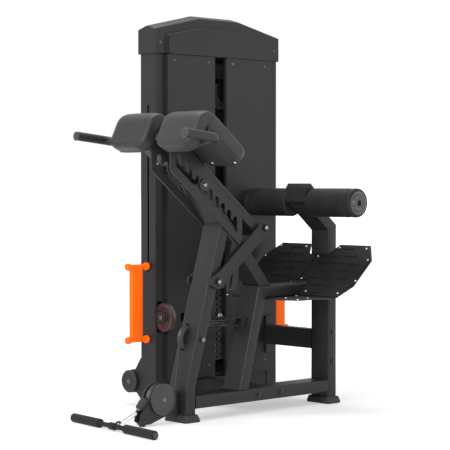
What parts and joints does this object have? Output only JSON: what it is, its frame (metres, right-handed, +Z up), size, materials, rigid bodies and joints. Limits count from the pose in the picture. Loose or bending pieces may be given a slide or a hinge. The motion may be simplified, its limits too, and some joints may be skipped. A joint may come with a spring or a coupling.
{
  "type": "back extension machine",
  "caption": "Floor-standing back extension machine with a weight stack tower, notched hip pad carriage, back rollers, footplate and a low swivel pulley with a pull bar.",
  "frame": {"origin": "floor level, under the middle of the machine's outer box", "axes": "+X from the low pulley towards the rollers, +Y from the user's frame back to the weight tower, +Z up"},
  "size_m": [1.3534, 0.8676, 1.594],
  "materials": {
    "frame_coat": "satin black powder coat with a fine grain",
    "sheet_coat": "matte black powder coat on folded sheet",
    "bright_steel": "zinc plated, bright",
    "stack_steel": "black coated steel plates",
    "rubber": "matte black rubber",
    "vinyl": "matte black vinyl over foam, sewn seams",
    "foam": "closed-cell foam with a fine skin",
    "moulded_plastic": "black nylon, slightly glossy",
    "red_plastic": "dark brown-red nylon",
    "orange_coat": "smooth orange powder coat",
    "cable_jacket": "black nylon jacket over steel cable"
  },
  "bodies": {
    "root": {"base_rail": "frame_coat", "left_leg": "frame_coat", "middle_leg": "frame_coat", "footplate_beam": "frame_coat", "spine_tube": "frame_coat", "roller_post": "frame_coat", "left_foot": "rubber", "right_foot": "rubber", "cross_pin": "bright_steel", "link_foot_pin": "bright_steel", "upper_tie": "frame_coat", "lower_tie": "frame_coat", "footplate": "frame_coat", "footplate_mat_far": "rubber", "footplate_mat_near": "rubber", "upright_left": "sheet_coat", "upright_right": "sheet_coat", "tower_sill": "sheet_coat", "stack_bumpers": "rubber", "crown_beam": "frame_coat", "guide_rod_left": "bright_steel", "guide_rod_right": "bright_steel", "top_cap": "sheet_coat", "shroud_left": "sheet_coat", "shroud_right": "sheet_coat", "rear_shroud": "sheet_coat", "resting_plates": "stack_steel", "band_bracket_left": "orange_coat", "band_bracket_right": "orange_coat", "roller_axle": "bright_steel", "transfer_bracket": "frame_coat", "lift_cable": "cable_jacket"},
    "links": {"link_bar_far": "frame_coat", "link_bar_near": "frame_coat", "link_head_pin": "bright_steel"},
    "carriage": {"carriage_beam": "frame_coat", "comb_plate_far": "frame_coat", "comb_plate_near": "frame_coat", "pad_board": "moulded_plastic", "hip_pad_far": "vinyl", "hip_pad_near": "vinyl", "handle_far": "frame_coat", "handle_near": "frame_coat"},
    "stack": {"lifted_plates": "stack_steel", "stack_cable": "cable_jacket"},
    "selector": {"selector_pin": "bright_steel"},
    "crown_sheave": {"crown_pulley": "moulded_plastic"},
    "leg_sheave": {"leg_pulley": "moulded_plastic"},
    "transfer_sheave": {"transfer_pulley": "moulded_plastic"},
    "front_sheave": {"front_pulley": "red_plastic"},
    "roller_back": {"roller_far": "foam"},
    "roller_front": {"roller_near": "foam"},
    "swivel": {"swivel_bracket": "frame_coat", "ball_stop": "rubber", "carabiner": "bright_steel"},
    "low_sheave": {"low_pulley": "moulded_plastic"},
    "bar": {"pull_bar": "foam"},
    "wheel_left": {"transport_wheel_left": "rubber"},
    "wheel_right": {"transport_wheel_right": "rubber"}
  },
  "joints": [
    {"name": "link_swing", "type": "hinge", "parent": "root", "child": "links", "pos_m": [-0.16503, -0.10525, 0.529], "axis": [0, 1, 0], "range_deg": [-2.8, 0]},
    {"name": "carriage_lift", "type": "hinge", "parent": "links", "child": "carriage", "pos_m": [0.08697, -0.10525, 0.731], "axis": [0, 1, 0], "range_deg": [0, 6]},
    {"name": "stack_lift", "type": "slide", "parent": "root", "child": "stack", "axis": [0, 0, 1], "range_m": [0, 0.6], "deforming": ["stack_cable"]},
    {"name": "selector_pull", "type": "slide", "parent": "stack", "child": "selector", "axis": [0, -1, 0], "range_m": [0, 0.05]},
    {"name": "crown_spin", "type": "hinge", "parent": "root", "child": "crown_sheave", "pos_m": [0.26177, 0.27975, 1.27], "axis": [0, 1, 0], "range_deg": [-5, 680]},
    {"name": "leg_spin", "type": "hinge", "parent": "root", "child": "leg_sheave", "pos_m": [-0.23403, -0.08825, 0.311], "axis": [0, 1, 0], "range_deg": [-680, 5]},
    {"name": "transfer_spin", "type": "hinge", "parent": "root", "child": "transfer_sheave", "pos_m": [-0.05303, -0.03745, 0.3618], "axis": [0, 0, 1], "range_deg": [-680, 5]},
    {"name": "front_spin", "type": "hinge", "parent": "root", "child": "front_sheave", "pos_m": [-0.11003, 0.20175, 0.367], "axis": [1, 0, 0], "continuous": true},
    {"name": "roller_back_spin", "type": "hinge", "parent": "root", "child": "roller_back", "pos_m": [0.37097, -0.10525, 0.828], "axis": [0, 1, 0], "continuous": true},
    {"name": "roller_front_spin", "type": "hinge", "parent": "root", "child": "roller_front", "pos_m": [0.37097, -0.10525, 0.828], "axis": [0, 1, 0], "continuous": true},
    {"name": "low_swivel", "type": "hinge", "parent": "root", "child": "swivel", "pos_m": [-0.33003, -0.10525, 0.0725], "axis": [0, 0, 1], "range_deg": [-40, 40]},
    {"name": "low_spin", "type": "hinge", "parent": "swivel", "child": "low_sheave", "pos_m": [-0.40703, -0.10525, 0.096], "axis": [0, 1, 0], "range_deg": [-680, 5]},
    {"name": "bar_lift", "type": "hinge", "parent": "swivel", "child": "bar", "pos_m": [-0.6004, -0.10525, 0.01869], "axis": [0, 1, 0], "range_deg": [0, 60]},
    {"name": "wheel_left_spin", "type": "hinge", "parent": "root", "child": "wheel_left", "pos_m": [-0.11243, 0.38575, 0.096], "axis": [1, 0, 0], "continuous": true},
    {"name": "wheel_right_spin", "type": "hinge", "parent": "root", "child": "wheel_right", "pos_m": [0.53437, 0.38575, 0.096], "axis": [1, 0, 0], "continuous": true}
  ],
  "couplings": [
    {"joint": "link_swing", "follows": "carriage_lift", "ratio": -0.4556},
    {"joint": "crown_spin", "follows": "stack_lift", "rad_per_m": 19.685},
    {"joint": "leg_spin", "follows": "stack_lift", "rad_per_m": -19.685},
    {"joint": "transfer_spin", "follows": "stack_lift", "rad_per_m": -19.685},
    {"joint": "low_spin", "follows": "stack_lift", "rad_per_m": -19.685}
  ]
}
